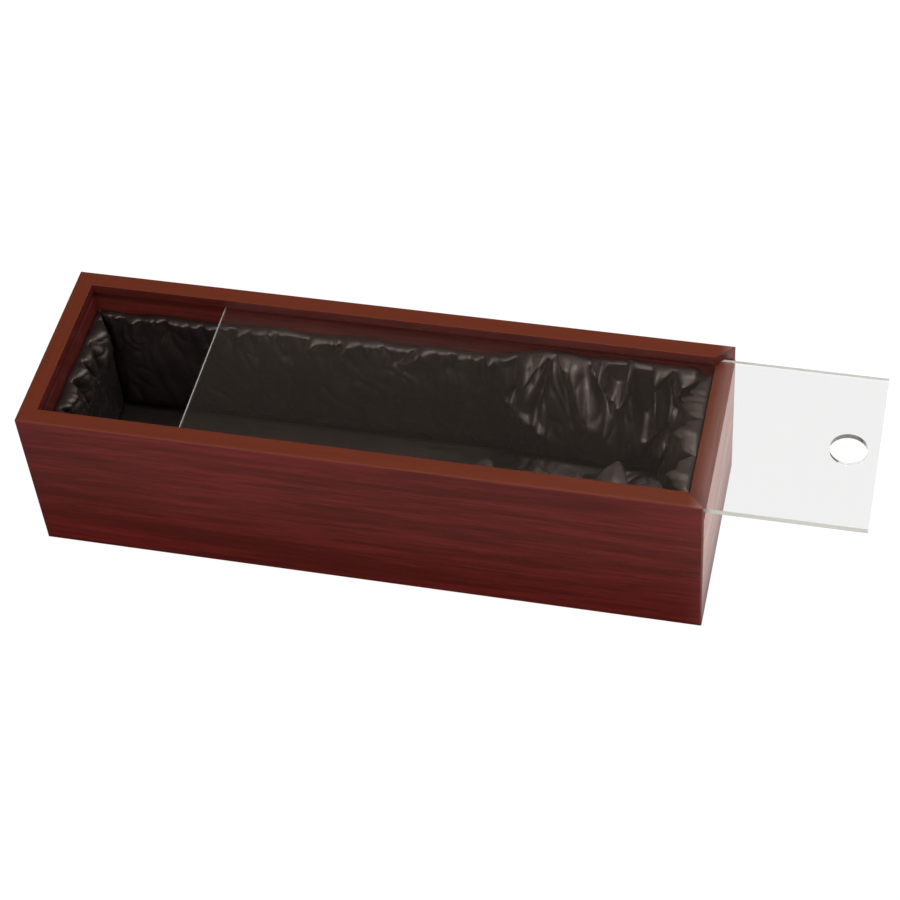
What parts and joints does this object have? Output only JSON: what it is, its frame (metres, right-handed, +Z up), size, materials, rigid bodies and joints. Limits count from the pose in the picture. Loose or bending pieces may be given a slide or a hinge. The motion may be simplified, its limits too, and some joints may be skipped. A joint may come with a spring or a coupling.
{
  "type": "wooden wine box",
  "caption": "Long rosewood-finish box with mitred corners, a grooved rim, a clear lid that slides out of one end, and a gathered dark satin lining.",
  "frame": {"origin": "middle of the underside, in the plane that the box stands on", "axes": "+X along the box, out of the open end that the lid slides through; +Y to the back wall; +Z up"},
  "size_m": [0.4348, 0.11, 0.095],
  "materials": {
    "rosewood": "satin rosewood-look foil on fibreboard",
    "clear_acrylic": "clear polished acrylic sheet",
    "grey_card": "plain grey paperboard",
    "white_wadding": "soft polyester wadding",
    "dark_satin": "dark espresso satin"
  },
  "bodies": {
    "box": {"front_wall": "rosewood", "back_wall": "rosewood", "closed_end_wall": "rosewood", "open_end_wall": "rosewood", "bottom_panel": "rosewood", "front_card": "grey_card", "back_card": "grey_card", "closed_end_card": "grey_card", "open_end_card": "grey_card", "floor_card": "grey_card", "front_wadding": "white_wadding", "back_wadding": "white_wadding", "closed_end_wadding": "white_wadding", "open_end_wadding": "white_wadding", "floor_wadding": "white_wadding", "front_satin": "dark_satin", "back_satin": "dark_satin", "closed_end_satin": "dark_satin", "open_end_satin": "dark_satin", "floor_satin": "dark_satin"},
    "lid": {"sliding_lid": "clear_acrylic"}
  },
  "joints": [
    {"name": "lid_slide", "type": "slide", "parent": "box", "child": "lid", "axis": [1, 0, 0], "range_m": [-0.0788, 0.285]}
  ]
}
